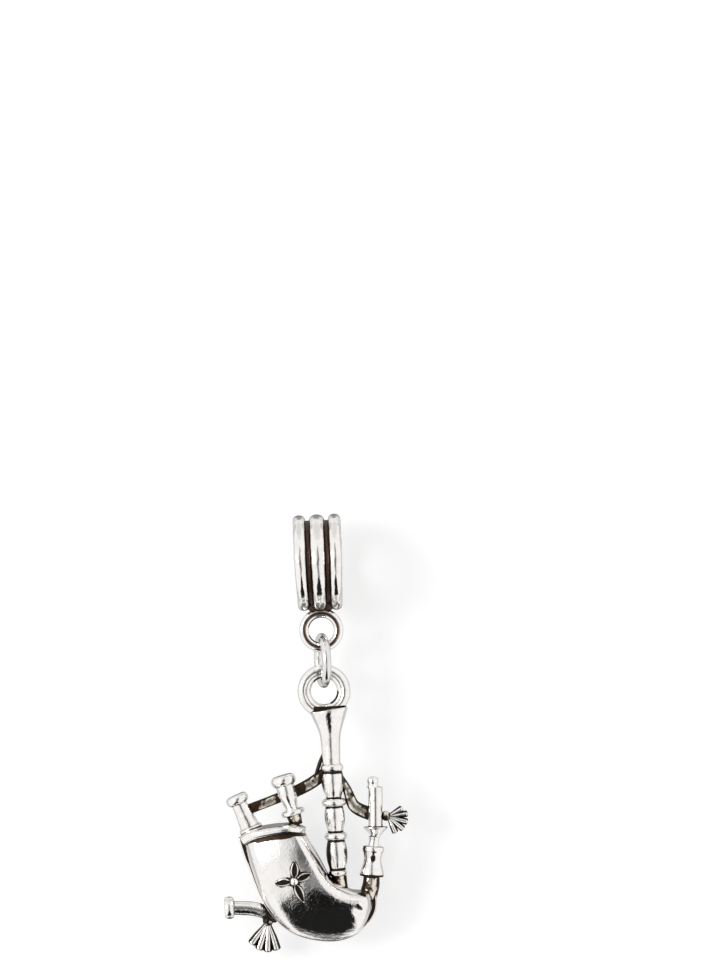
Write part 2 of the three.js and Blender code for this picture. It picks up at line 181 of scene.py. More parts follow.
def hoop(section, radius, opening=0.0):
    """A closed section (r, y) carried round the Y axis. With an opening, a gap that is that long
    at the radius."""
    section = np.asarray(section, float)
    sides = SIDES * 2
    half_gap = opening / 2 / radius
    if opening:
        turns = np.linspace(half_gap, 2 * math.pi - half_gap, sides + 1)
    else:
        turns = np.linspace(0, 2 * math.pi, sides, endpoint=False)
    rows = [np.column_stack([section[:, 0] * math.cos(a), section[:, 1], section[:, 0] * math.sin(a)])
            for a in turns]
    if opening:
        return skin(rows)
    rows = np.array(rows)
    around = len(section)
    at = np.arange(around)
    after = (at + 1) % around
    faces = []
    for row in range(sides):
        low, high = row * around, ((row + 1) % sides) * around
        faces += np.column_stack([low + at, low + after, high + after, high + at]).tolist()
    return Skin(rows.reshape(-1, 3), faces)


def revolve(profile, sides=SIDES):
    """A turned shape on the Z axis, from a profile of (radius, z) without its two axis points."""
    angle = np.linspace(0, 2 * math.pi, sides, endpoint=False)
    ring = np.column_stack([np.cos(angle), np.sin(angle)])
    return skin([np.column_stack([radius * ring, np.full(sides, z)]) for radius, z in profile])


def lathe(side, edge=0.12):
    """A turned shape with flat ends, a smooth side through the given points and rounded rims."""
    low, high = side[0], side[-1]
    curve = spline(side, 4 * len(side))
    profile = rounded([(NEAR_AXIS, low[1]), *curve, (NEAR_AXIS, high[1])], edge)
    return revolve(profile)


def collar(radius, height, z=0.0, dome=0.55):
    """A disc with a bulging rim. dome is how far the rim bulges, as a share of half the height."""
    turns = np.linspace(-math.pi / 2, math.pi / 2, 21)
    half = height / 2
    rim = [(radius - dome * half + dome * half * math.cos(a), z + half * math.sin(a)) for a in turns]
    face = [0.05, 0.4, 0.7]  # shares of the radius
    bottom = [(radius * share, z - half) for share in face]
    top = [(radius * share, z + half) for share in face[::-1]]
    return revolve(bottom + rim + top)


def oval(sides, flat=1.0):
    """Points (across, deep) around an oval of radius 1. flat below 1 makes it squarer."""
    angle = np.linspace(0, 2 * math.pi, sides, endpoint=False)
    across, deep = np.cos(angle), -np.sin(angle)
    return np.sign(across) * abs(across) ** flat, np.sign(deep) * abs(deep) ** flat


def rod(stops, y, sides=40, flat=1.0, ends=0.6, dark=0.0, edge=(0.5, 0.8)):
    """A rod along a smooth curve in the XZ plane. Each stop is (x, z, half width, half depth).
    ends rounds its tips, and dark darkens its two sides from edge[0] to edge[1] of the half width: oxide
    along a ribbon's edges and between strands, painted shade down the sides of a round tube."""
    stops = np.asarray(stops, float)
    length = np.linalg.norm(np.diff(stops[:, :2], axis=0), axis=1).sum()
    line = spline(stops, max(12, round(length / STEP)))
    way = np.gradient(line[:, :2], axis=0)
    way /= np.linalg.norm(way, axis=1)[:, None]
    across, deep = oval(sides, flat)
    turns = np.linspace(0, math.pi / 2, 8)[1:]
    caps = [(math.sin(a), math.cos(a)) for a in turns[:-1]]
    rows, oxide_and_shade = [], []

    def add(at, along, half_width, half_depth, worn=1.0):
        wide, thick = across * half_width, deep * half_depth
        rows.append(np.column_stack([at[0] - along[1] * wide, y + thick, at[1] + along[0] * wide]))
        # the sides' darkening: oxide on ribbons and strands, painted shade on round tubes
        oxide_and_shade.append(dark * worn * smooth(abs(across), *edge))

    for at, direction in ((0, -1), (-1, 1)):
        if at:
            for (x, z, width, depth), along in zip(line, way):
                add((x, z), along, width, depth)
        x, z, width, depth = line[at]
        tips = [(line[at][:2] + direction * way[at] * ends * width * far, near) for far, near in caps]
        for place, near in (tips if at else tips[::-1]):
            add(place, way[at], width * near, depth * near, smooth(near, 0.3, 0.9))
    return skin(rows, oxide_and_shade)


# ---- the pieces' shapes ----

def bail_tube():
    """Three ribs around a bore, with broad dark grooves between them."""
    half_width = node_box("bail_tube")[1][0]
    rib_top, groove_radius, bore = 4.8, 4.16, 3.0
    side_rib, middle_rib = 1.76, 0.74  # the side ribs' centre, and the middle rib's half width
    groove = 0.91  # the grooves' centre
    ribs = [(-side_rib, half_width - side_rib), (0.0, middle_rib), (side_rib, half_width - side_rib)]
    mouth = [(bore, half_width - 0.25), (bore + 0.1, half_width - 0.08), (bore + 0.35, half_width)]
    section = [(radius, -across) for radius, across in mouth]
    for centre, half in ribs:
        for angle in np.linspace(0.04, math.pi - 0.04, 33):
            height = (rib_top - groove_radius) * math.sin(angle) ** 0.75
            section.append((groove_radius + height, centre - half * math.cos(angle)))
    section += mouth[::-1]
    inside = np.linspace(mouth[0][1], -mouth[0][1], 13)[1:-1]
    section += [(bore, across) for across in inside]
    tube = hoop(section, rib_top).turned(90, "Z")

    def grooves(x, y, z):
        """Broader and darker towards the bottom of the bail."""
        radius = np.hypot(y, z)
        low = smooth(-z, -3, 4)
        reach = smooth(radius, rib_top - 0.12 - 0.1 * low, groove_radius + 0.25 + 0.1 * low)
        between = 1 - smooth(np.abs(np.abs(x) - groove), 0.2 + 0.1 * low, 0.3 + 0.12 * low)
        return np.maximum(reach * between * (radius > bore + 0.3), 0.5 * (radius < bore + 0.05))

    tube.oxide_and_shade = grooves(*tube.points.T)
    narrowing = 0.07  # of its width, at the bottom
    tube.points[:, 0] *= 1 - narrowing * smooth(-tube.points[:, 2], -1.0, rib_top)
    return tube


def ridged_section(loop, step_radius, step_depth, sunk):
    """A loop's section: an outer and an inner ridge with a narrow step line between them.
    sunk is how much thinner the inner ridge is, as a share."""
    outer, inner, half = loop["outer"], loop["inner"], loop["half_depth"]
    centre, reach = (outer + inner) / 2, (outer - inner) / 2
    squareness, step_width = 0.8, 0.07
    section = []
    for angle in np.linspace(0, 2 * math.pi, 72, endpoint=False):
        across = math.copysign(abs(math.cos(angle)) ** squareness, math.cos(angle))
        radius = centre + reach * across
        deep = half * math.copysign(abs(math.sin(angle)) ** squareness, math.sin(angle))
        if radius < step_radius:
            deep *= 1 - sunk
        deep -= math.copysign(step_depth, deep) * math.exp(-((radius - step_radius) / step_width) ** 2)
        section.append((radius, deep))
    return section


def bail_loop():
    """A flat ring with two ridges, and a short neck up between the ribs."""
    step = 1.7
    ring = hoop(ridged_section(BAIL_LOOP, step, 0.12, 0.06), BAIL_LOOP["outer"])

    def crevices(x, y, z):
        """The line between the ridges, and dark arcs on the wall of the hole."""
        radius, angle = np.hypot(x, z), np.degrees(np.arctan2(z, x))
        line = 1 - smooth(abs(radius - step), 0.07, 0.19)
        wall = 1 - smooth(radius, BAIL_LOOP["inner"] + 0.07, BAIL_LOOP["inner"] + 0.2)
        low = 1 - smooth(abs(angle + 132), 22, 34)
        high = 0.8 * (1 - smooth(abs(angle - 125), 30, 60))
        return np.maximum(line, wall * np.maximum(low, high))

    ring = ring.darkened(crevices)
    neck_top = -3.9  # inside the bail's wall
    neck = rod([(0, BAIL_LOOP["outer"] - 0.45, 0.7, 0.34), (0, BAIL_LOOP["outer"] - 0.1, 1.25, 0.5),
                (0, neck_top - BAIL_LOOP_Z, 1.75, 0.7)], 0, flat=0.7, ends=0.2)
    neck.oxide_and_shade[:] = 1
    return [ring.moved(z=BAIL_LOOP_Z), neck.moved(z=BAIL_LOOP_Z)]


def jump_ring():
    """A circle of round wire whose two ends almost touch at the back."""
    angle = np.linspace(0, 2 * math.pi, 40, endpoint=False)
    section = [(RING_RADIUS + RING_WIRE * math.cos(a), RING_WIRE * math.sin(a)) for a in angle]
    ring = hoop(section, RING_RADIUS, opening=RING_SEAM)
    return ring.turned(90 + RING_YAW, "Z").moved(z=RING_Z)


def hanging_loop():
    """The loop at the top of the charm, stepped on its face, with a stained crease over the bell."""
    step = 1.84
    ring = hoop(ridged_section(HANGING_LOOP, step, 0.05, 0.1), HANGING_LOOP["outer"])

    def crease(x, y, z):
        """The step line, the crease over the bell, and dark arcs on the wall of the hole."""
        radius, angle = np.hypot(x, z), np.degrees(np.arctan2(z, x))
        line = 0.45 * (1 - smooth(abs(radius - step), 0.02, 0.09))
        over_bell = smooth(-z, 1.46, 1.54) * (1 - smooth(abs(x - 0.45), 1.45, 1.7))
        wall = 1 - smooth(radius, HANGING_LOOP["inner"] + 0.1, HANGING_LOOP["inner"] + 0.28)
        high = 1 - smooth(abs(angle - 112), 16, 30)
        low = 1 - smooth(abs(angle + 32), 26, 40)
        return np.maximum(np.maximum(line, over_bell), wall * np.maximum(high, low))

    return ring.darkened(crease)


def drone_bell():
    """The flared top of the bass drone, its upper rim rising to the right."""
    foot, top = -7.34, -1.8
    side = [(0.9, foot), (0.93, -6.2), (0.97, -5.2), (1.08, -4.3), (1.36, -3.4), (1.62, -2.72), (1.84, -2.1)]
    curve = spline(side, 60)
    profile = rounded([(NEAR_AXIS, foot), *curve, (1.86, -1.86), (1.5, top), (NEAR_AXIS, top)], 0.12)
    bell = revolve(profile)
    slope = 0.114 * smooth(bell.points[:, 2], -4.3, -2.2)
    bell.points[:, 2] += slope * bell.points[:, 0]
    return bell.moved(x=0.43)


def pillow(left, right, height, towards, other_side=0.2):
    """One half of the bag: height(x, z) between its outlines, with a round edge along them.
    Its stain is 1 on the side where the halves meet, but for a rim along the outline."""
    rows, across = 110, 84
    share = 1 - (1 - np.linspace(0, 1, rows + 1)) ** 1.6  # closer together towards the toe
    edges = [spline(outline, share) for outline in (left, right)]
    outline = np.concatenate([edges[0], edges[1][::-1]])
    turn = np.linspace(0, math.pi, across + 1)
    u = np.concatenate([-np.cos(turn), np.cos(turn)[1:-1]])
    back = np.arange(len(u)) > across
    rings, oxide_and_shade = [], []
    for t, a, b in zip(share, *edges):
        place = a + (b - a) * ((u + 1) / 2)[:, None]
        gaps = np.linalg.norm(place[:, None] - outline[None], axis=2).min(1)
        fillet = 1.1 + 0.6 * smooth(-place[:, 1], 18.5, 23)  # rounder towards the bottom
        near = 1 - np.clip(gaps / fillet, 0, 1)
        edge = np.sqrt(np.clip(1 - near**2.4, 0, 1))
        tall = np.where(back, -other_side, height(*place.T))
        arch = 0.45 * (1 - t) ** 4 * (1 - u * u)  # of the neck end, under the band
        rings.append(np.column_stack([place[:, 0], towards * tall * edge, place[:, 1] + arch]))
        oxide_and_shade.append(back * smooth(gaps, 0.1, 0.2))
    return skin(rings, oxide_and_shade)


# The band's stops are (x, z, half width, half depth), and the outlines run from neck to toe.
BAND = [(-8.75, -14.55, 0.5, 1.15), (-7.7, -14.0, 0.6, 2.1), (-5.7, -13.65, 0.6, 2.65),
        (-3.9, -13.55, 0.52, 2.75), (-3.0, -13.7, 0.42, 2.2), (-2.55, -13.8, 0.35, 1.4)]
FRONT_LEFT = [(-8.65, -14.5), (-8.1, -17.2), (-6.6, -21.5), (-4.1, -24.1), (-0.4, -25.05), (2.4, -24.3),
              (3.7, -22.2), (3.85, -20.95)]
FRONT_RIGHT = [(-2.6, -13.9), (-1.25, -16.5), (-0.1, -18.65), (1.5, -19.75), (2.9, -20.05),
               (3.6, -20.35), (3.85, -20.95)]
BACK_LEFT = [(-9.25, -14.3), (-8.35, -17.4), (-6.6, -21.6), (-4.1, -24.1), (-0.4, -25.0), (2.7, -24.0),
             (4.25, -22.2), (4.3, -19.9)]
BACK_RIGHT = [(-2.55, -13.9), (-1.2, -16.5), (-0.1, -18.6), (1.5, -19.7), (2.9, -20.0), (3.7, -19.8),
              (4.3, -19.9)]


def bag_front():
    """The decorated half, stained in a line under the band, with a small knock near the toe."""

    def height(x, z):
        """Fullest above the flower, and thinning faster and faster towards the bottom edge."""
        full_z, full_x = -16.5, -2.9
        low = smooth(-z, -full_z, 21.5)
        sideways = (0.1 - 0.082 * low) * (x - full_x - 1.7 * low) ** 2 / 2
        downwards = np.where(z < full_z, 0.074, 0.16) * (z - full_z) ** 2 / 2
        return np.maximum(BAG_DEPTH - sideways - downwards, 0.15)

    front = pillow(FRONT_LEFT, FRONT_RIGHT, height, -1)
    x, y, z = front.points.T
    knock_depth = 0.16
    knock = np.exp(-((x - 2.55) / 0.55) ** 2 - ((z + 21.9) / 0.45) ** 2)
    front.points[:, 1] += np.where(y < -0.5, knock_depth * knock, 0)
    band = spline(BAND, 200)

    def under_band(x, y, z):
        """A line below the band's lower edge, thinner at its two ends."""
        edge = np.interp(x, band[:, 0], band[:, 1] - band[:, 2])
        width = 0.13 + 0.2 * smooth(x, -8.3, -6.9) * (1 - smooth(x, -3.9, -2.9))
        return (1 - smooth(edge - z, 0.4 * width, width)) * (y < 0.2) * (x < -2)

    return front.darkened(under_band)


def bag_back():
    """The plain half, stained where it shows beside the front: left of the neck and at the toe."""

    def height(x, z):
        """Shallower than the front, and fullest in the middle."""
        return 0.72 * BAG_DEPTH - 0.03 * (x + 3.2) ** 2 - 0.022 * (z + 18.0) ** 2

    back = pillow(BACK_LEFT, BACK_RIGHT, height, 1, 0.12)
    x, _, z = back.points.T
    back.oxide_and_shade *= np.maximum(smooth(z, -17.2, -16.4) * (x < -5), smooth(x, 2.6, 3.2))
    return back


def bag_band():
    """The flat band round the bag's neck."""
    return rod(BAND, -0.3, sides=96, flat=0.7, ends=0.3)


FLOWER = (-3.75, -18.66)
PETALS = {"right": (22, 1.95), "up": (86, 2.1), "left": (184, 2.05), "down": (292, 2.4)}


def petal(degrees, length, surface):
    """A pointed leaf with a raised outline and a sunk, stained middle, laid on the bag."""
    start, half_width, sink = 0.34, 0.43, 0.25
    base, ridge_height = 0.03, 0.15
    ridge_at, ridge_width = 0.74, 0.2  # as shares of the half width
    along = np.linspace(0, 1, 34)
    across = np.linspace(-1, 1, 25)
    angle = math.radians(degrees)
    way, side = (math.cos(angle), math.sin(angle)), (-math.sin(angle), math.cos(angle))
    rows, oxide_and_shade = [], []
    for s in along:
        half = half_width * (math.sin(math.pi * min(s * 1.04, 1) ** 0.8)) ** 0.8 + 0.012
        row, mark = [], []
        for v in across:
            far = start + (length - start) * s
            x = FLOWER[0] + way[0] * far + side[0] * half * v
            z = FLOWER[1] + way[1] * far + side[1] * half * v
            ridge = math.exp(-((abs(v) - ridge_at) / ridge_width) ** 2)
            tip = smooth(s, 0.86, 1.0) + (1 - smooth(s, 0.0, 0.1))
            height = base + ridge_height * max(ridge, min(1.0, tip)) if abs(v) < 1 else -0.05
            row.append((x, surface(x, z) - height, z))
            mark.append((1 - smooth(abs(v), 0.42, 0.62)) * (1 - smooth(s, 0.84, 0.94)))
        under = [(x, y + sink + 0.1, z) for x, y, z in row[::-1]]
        rows.append(row + under)
        oxide_and_shade.append(mark + [1.0] * len(under))
    return skin(rows, oxide_and_shade)


def flower_stud(surface):
    """A round head on the bag where the petals meet."""
    radius = 0.42
    turns = np.linspace(0, math.pi, 26)[1:-1]
    ball = revolve([(radius * math.sin(a), -radius * math.cos(a)) for a in turns], 48)
    x, z = FLOWER
    return ball.moved(x=x, y=surface(x, z) - 0.02, z=z)


def tenor_parts():
    """Name to shape for the two short drones that stand on the bag's neck."""
    left = {
        "foot": collar(1.2, 0.44),
        "body": lathe([(0.99, 0.14), (0.96, 0.6), (0.9, 1.2), (0.82, 2.0), (0.78, 2.86)]),
        "cap": collar(1.15, 0.95, 3.24, 0.8),
    }
    right = {
        # painted shade: the stock is darker on its two sides and bright only down its middle
        "stock": lathe([(0.6, -1.3), (0.68, -0.7), (0.76, -0.2)]).darkened(
            lambda x, y, z: 0.5 * smooth(abs(x), 0.1, 0.6)),
        "collar": collar(1.2, 0.56, 0, 0.9),
        "barrel": lathe([(0.78, 0.18), (0.64, 0.55), (0.78, 1.1), (1.0, 1.85), (0.99, 2.3), (0.9, 2.86)]),
        "cap": collar(1.26, 1.1, 3.31, 0.8),
    }
    parts = {f"left_tenor_{name}": shape.standing(LEFT_TENOR) for name, shape in left.items()}
    parts.update({f"right_tenor_{name}": shape.standing(RIGHT_TENOR) for name, shape in right.items()})
    return parts


def bass_drone_parts():
    """Name to shape for the tall drone's collars and the beads between them, from the top."""
    collars = [(1.13, 0.78, -7.69), (1.24, 0.75, -11.165), (1.15, 0.74, -14.55), (0.92, 0.6, -18.22)]
    beads = [
        [(0.74, -10.75), (0.8, -10.5), (0.97, -10.0), (1.13, -9.3), (1.12, -8.8), (0.98, -8.12)],
        [(0.77, -14.14), (0.82, -13.85), (0.95, -13.2), (1.01, -12.6), (0.96, -12.0), (0.84, -11.58)],
        [(0.8, -17.88), (0.84, -17.65), (1.0, -17.0), (1.06, -16.3), (1.0, -15.6), (0.85, -14.96)],
    ]
    parts = {}
    for number, (radius, height, z) in enumerate(collars, 1):
        parts[f"bass_drone_collar_{number}"] = collar(radius, height, z, 0.9).standing(BASS_DRONE)
    for number, side in enumerate(beads, 1):
        (low_radius, low), (high_radius, high) = side[0], side[-1]
        reached = [(low_radius, low - OVERLAP), *side[1:-1], (high_radius, high + OVERLAP)]

        def oxide_and_shade(x, y, z):
            """Oxide at the necks, and painted shade on the two sides and down the left of the lowest bead.
            """
            neck = 1 - smooth(np.minimum(z - low, high - z), 0.02, 0.34)
            # painted shade: the lowest bead's left half and every bead's two sides
            left = smooth(-x, 0.35, 0.75) * 0.8 if number == len(beads) else 0
            sides = 0.6 * smooth(abs(x), 0.72, 0.98)
            return np.maximum(np.maximum(neck * 0.85, left), sides)

        parts[f"bass_drone_bead_{number}"] = lathe(reached).darkened(oxide_and_shade).standing(BASS_DRONE)
    return parts


def blowpipe_parts():
    """Name to shape for the blowpipe, its stock and elbow, and the stock of the bass drone."""
    cup = [(0.4, -1.0), (0.5, -0.85), (0.62, -0.6), (0.95, -0.25), (1.19, 0.0), (1.2, 0.12)]
    tube = [(0.73, 0.0), (0.72, 1.5), (0.73, 2.8), (0.73, 4.12)]
    mouthpiece = [(0.66, 4.0), (0.58, 4.2), (0.5, 4.4), (0.58, 4.65), (0.52, 4.95), (0.3, 5.12)]
    neck = [(0.64, -0.24), (0.52, 0.2), (0.5, 0.5), (0.58, 0.84)]
    spool = [(1.16, -3.12), (1.2, -2.9), (1.12, -2.45), (0.9, -1.7), (0.85, -1.3), (0.98, -0.75),
             (1.08, -0.5), (1.02, -0.14)]
    elbow = [(3.95, -18.6, 0.8, 0.8), (3.85, -19.6, 0.85, 0.85), (3.5, -20.7, 0.9, 0.9)]
    drone_stock = [(0.68, -18.4, 0.76, 0.76), (0.75, -19.2, 0.74, 0.74), (0.85, -19.9, 0.7, 0.7)]
    elbow_y, drone_stock_y = 0.45, 0.2
    mouthpiece_left = 0.26  # of the tube's axis

    def spool_oxide_and_shade(x, y, z):
        """A ring at the foot, a pit in the front and painted shade down the left side."""
        pit = np.exp(-(x / 0.32) ** 2 - ((z + 1.3) / 0.5) ** 2) * (y < 0)
        # painted shade on the left side
        side = 0.7 * smooth(-x, 0.62, 0.9) * smooth(z, -2.0, -1.6)
        return np.maximum(1 - smooth(z, -2.98, -2.84), np.maximum(0.95 * pit, side))

    return {
        "blowpipe_cup": lathe(cup).standing(BLOWPIPE),
        "blowpipe_tube": lathe(tube, 0.14).standing(BLOWPIPE),
        "blowpipe_mouthpiece": lathe(mouthpiece).moved(x=-mouthpiece_left).standing(BLOWPIPE),
        "blowpipe_neck": lathe(neck).standing(BLOWPIPE_STOCK),
        "blowpipe_stock": lathe(spool, 0.18).darkened(spool_oxide_and_shade).standing(BLOWPIPE_STOCK),
        # the two sides of these round tubes are darkened as painted shade
        "blowpipe_elbow": rod(elbow, elbow_y, dark=0.8),
        "bass_drone_stock": rod(drone_stock, drone_stock_y, dark=0.8),
    }


def chanter_parts():
    """Name to shape for the pipe that leaves the bag's lower left, and the bell on its end."""
    bend = [(-10.1, -21.33, 0.7), (-8.4, -21.45, 0.7), (-7.2, -21.75, 0.7), (-5.8, -22.4, 0.65)]
    tube = rod([(x, z, radius, radius) for x, z, radius in bend], CHANTER_Y)
    bell = collar(1.13, 0.95, 0, 0.6).turned(90, "Y").moved(-10.42, CHANTER_Y, -21.3)
    tube = tube.darkened(lambda x, y, z: 0.62 * smooth(x, -8.0, -6.8))
    return {"chanter_tube": tube, "chanter_bell": bell}


def tassel(knot_centre, knot_radius, root, y, strands, tip, knot_stain):
    """A knot and the strands that fan out from its root, as (angle in degrees, length) each.
    tip is a strand's half width at its outer end."""
    turns = np.linspace(0, math.pi, 22)[1:-1]
    knot = revolve([(knot_radius * math.sin(a), knot_radius * math.cos(a)) for a in turns[::-1]], 48)
    widths = [(0, 0.24, 0.28), (0.3, 0.62 * tip, 0.32), (0.62, 0.86 * tip, 0.36), (1, tip, 0.4)]
    bend = 0.12
    fan = []
    for at, (degrees, length) in enumerate(strands):
        angle = math.radians(degrees)
        stops = []
        for share, width, depth in widths:
            bow = bend * length * share * (1 - share) * (at - (len(strands) - 1) / 2) / len(strands)
            x = root[0] + math.cos(angle) * length * share - math.sin(angle) * bow
            z = root[1] + math.sin(angle) * length * share + math.cos(angle) * bow
            stops.append((x, z, width, depth))
        fan.append(rod(stops, y, sides=28, ends=0.5, dark=0.95, edge=(0.3, 0.62)))
    knot = knot.moved(knot_centre[0], y, knot_centre[1])
    knot.oxide_and_shade[:] = knot_stain
    return knot, fan


def cords():
    """The oxidised ribbon that ties the drones together, worn bright along its middle where it
    shows. Each stop is (x, z, half width)."""
    depth = 0.3
    stops = {
        "left": [(-8.6, -11.68, 0.53), (-6.4, -10.95, 0.5), (-4.2, -10.2, 0.53)],
        "middle": [(-4.5, -10.45, 0.55), (-1.75, -9.2, 0.6), (0.3, -7.8, 0.55)],
        "right": [(0.7, -7.9, 0.4), (1.85, -9.9, 0.45), (2.6, -11.7, 0.62), (4.6, -12.65, 0.7)],
        "tail": [(-1.3, -8.7, 0.14), (-0.8, -7.35, 0.2), (-0.34, -6.2, 0.12)],
    }
    worn = {"left": (-7.2, -5.0), "middle": (-2.7, -0.7), "right": (1.2, 3.8)}  # between these x
    shapes = {}
    for name, line in stops.items():
        cord = rod([(x, z, width, depth) for x, z, width in line], CORD_Y, sides=48, flat=0.9,
                   dark=1.0, edge=(0.6, 0.85))
        if name in worn:
            start, end = worn[name]
            cord = cord.darkened(lambda x, y, z: 1 - smooth(np.minimum(x - start, end - x), 0.0, 0.5))
        else:
            cord.oxide_and_shade[:] = 1
        shapes[f"drone_cord_{name}"] = cord
    return shapes


# ---- materials ----

class Nodes:
    """Short calls for a node tree. A value is a number, a colour or another node's output."""

    def __init__(self, tree):
        self.tree = tree
        tree.nodes.clear()

    def add(self, kind, inputs=(), **settings):
        node = self.tree.nodes.new(kind)
        for name, value in settings.items():
            setattr(node, name, value)
        for key, value in dict(inputs).items():
            self.put(node.inputs[key], value)
        return node

    def put(self, socket, value):
        if isinstance(value, bpy.types.NodeSocket):
            self.tree.links.new(value, socket)
        else:
            socket.default_value = value

    def math(self, operation, a, b=0.0, clamp=False):
        node = self.add("ShaderNodeMath", {0: a, 1: b}, operation=operation, use_clamp=clamp)
        return node.outputs[0]

    def smooth(self, value, low, high):
        """0 below low, 1 above high and smooth between."""
        inputs = {"Value": value, "From Min": low, "From Max": high}
        node = self.add("ShaderNodeMapRange", inputs, interpolation_type="SMOOTHSTEP")
        return node.outputs["Result"]

    def mix(self, share, a, b):
        node = self.add("ShaderNodeMix", data_type="RGBA")
        self.put(node.inputs["Factor"], share)
        self.put(node.inputs[6], a)
        self.put(node.inputs[7], b)
        return node.outputs[2]

    def noise(self, place, scale, detail=3.0, rough=0.55, stretch=None):
        if stretch:
            place = self.add("ShaderNodeVectorMath", {0: place, 1: stretch}, operation="MULTIPLY").outputs[0]
        inputs = {"Vector": place, "Scale": scale, "Detail": detail, "Roughness": rough}
        return self.add("ShaderNodeTexNoise", inputs).outputs[0]


def metal(name, bright, dark, rough, dark_between, pits, waves, patchy=0.55):
    """Polished cast metal, dark where oxide was left in its crevices and where painted shade is marked. It
    darkens where the cavity_and_shade attribute rises between two values, unevenly by patchy. pits and waves
    are depths in mm."""
    material = bpy.data.materials.new(name)
    material.use_nodes = True
    nodes = Nodes(material.node_tree)
    place = nodes.add("ShaderNodeTexCoord").outputs["Object"]
    place = nodes.add("ShaderNodeVectorMath", {0: place, 3: 1 / MM}, operation="SCALE").outputs[0]
    cavity_and_shade = nodes.add("ShaderNodeAttribute", attribute_name="cavity_and_shade").outputs["Fac"]
    blotch = nodes.noise(place, 1.3, 4)
    grain = nodes.noise(place, 7.0, 3)
    dents = nodes.smooth(nodes.noise(place, 3.6, 2, 0.65), 0.42, 0.66)
    fine = nodes.noise(place, 22.0, 2)
    scratch = nodes.noise(place, 3.0, 2, stretch=(1.0, 1.0, 9.0))

    wander = nodes.math("MULTIPLY", nodes.math("SUBTRACT", blotch, 0.5), patchy)
    speck = nodes.math("MULTIPLY", nodes.math("SUBTRACT", grain, 0.5), 0.5)
    level = nodes.math("ADD", nodes.math("ADD", cavity_and_shade, wander), speck)
    # share of the dark colour: oxide, and painted shade where a piece marks it
    dark_share = nodes.smooth(level, *dark_between)
    tarnish = nodes.smooth(blotch, 0.35, 0.75)
    silver = nodes.mix(tarnish, (*bright, 1), (*[0.93 * c for c in bright], 1))
    oxide_and_shade = nodes.mix(nodes.smooth(grain, 0.35, 0.7), (*dark, 1), (*[1.9 * c for c in dark], 1))
    colour = nodes.mix(dark_share, silver, oxide_and_shade)

    polish = nodes.math("ADD", rough, nodes.math("MULTIPLY", nodes.math("SUBTRACT", fine, 0.4), 0.1))
    dull = nodes.math("MULTIPLY", dark_share, 0.3)
    roughness = nodes.math("ADD", polish, dull, clamp=True)

    bump = nodes.add("ShaderNodeBump", {"Height": blotch, "Strength": 1.0, "Distance": waves * MM})
    for height, deep in ((dents, 0.22 * pits), (grain, 0.8 * pits)):
        bump = nodes.add("ShaderNodeBump", {"Height": height, "Strength": 1.0, "Distance": deep * MM,
                                            "Normal": bump.outputs[0]})
    bump = nodes.add("ShaderNodeBump", {"Height": scratch, "Strength": 0.6, "Distance": pits * 0.3 * MM,
                                        "Normal": bump.outputs[0]})
    shader = nodes.add("ShaderNodeBsdfPrincipled", {
        "Base Color": colour, "Roughness": roughness, "Metallic": 1.0, "Normal": bump.outputs[0],
    })
    nodes.add("ShaderNodeOutputMaterial", {"Surface": shader.outputs[0]})
    return material


SILVER = (0.955, 0.93, 0.9)
WARM_SILVER = (0.84, 0.77, 0.67)
GREY_SILVER = (0.84, 0.83, 0.81)
BROWN_BLACK = (0.026, 0.018, 0.012)
SOFT_BLACK = (0.03, 0.02, 0.014)
DARK_BROWN = (0.062, 0.04, 0.03)
GREY_BROWN = (0.2, 0.18, 0.16)
FINISHES = {
    "cast_silver": metal("cast_silver", SILVER, BROWN_BLACK, rough=0.07, dark_between=(0.35, 0.62),
                         pits=0.012, waves=0.02),
    "oxidised_silver": metal("oxidised_silver", WARM_SILVER, SOFT_BLACK, rough=0.15,
                             dark_between=(-0.1, 0.35), pits=0.012, waves=0.03, patchy=4.0),
    "bail_metal": metal("bail_metal", SILVER, DARK_BROWN, rough=0.09, dark_between=(0.35, 0.62),
                        pits=0.004, waves=0.02),
    "ring_wire": metal("ring_wire", GREY_SILVER, GREY_BROWN, rough=0.14, dark_between=(0.6, 1.0),
                       pits=0.003, waves=0.01),
}


# ---- making pieces ----

pieces = []


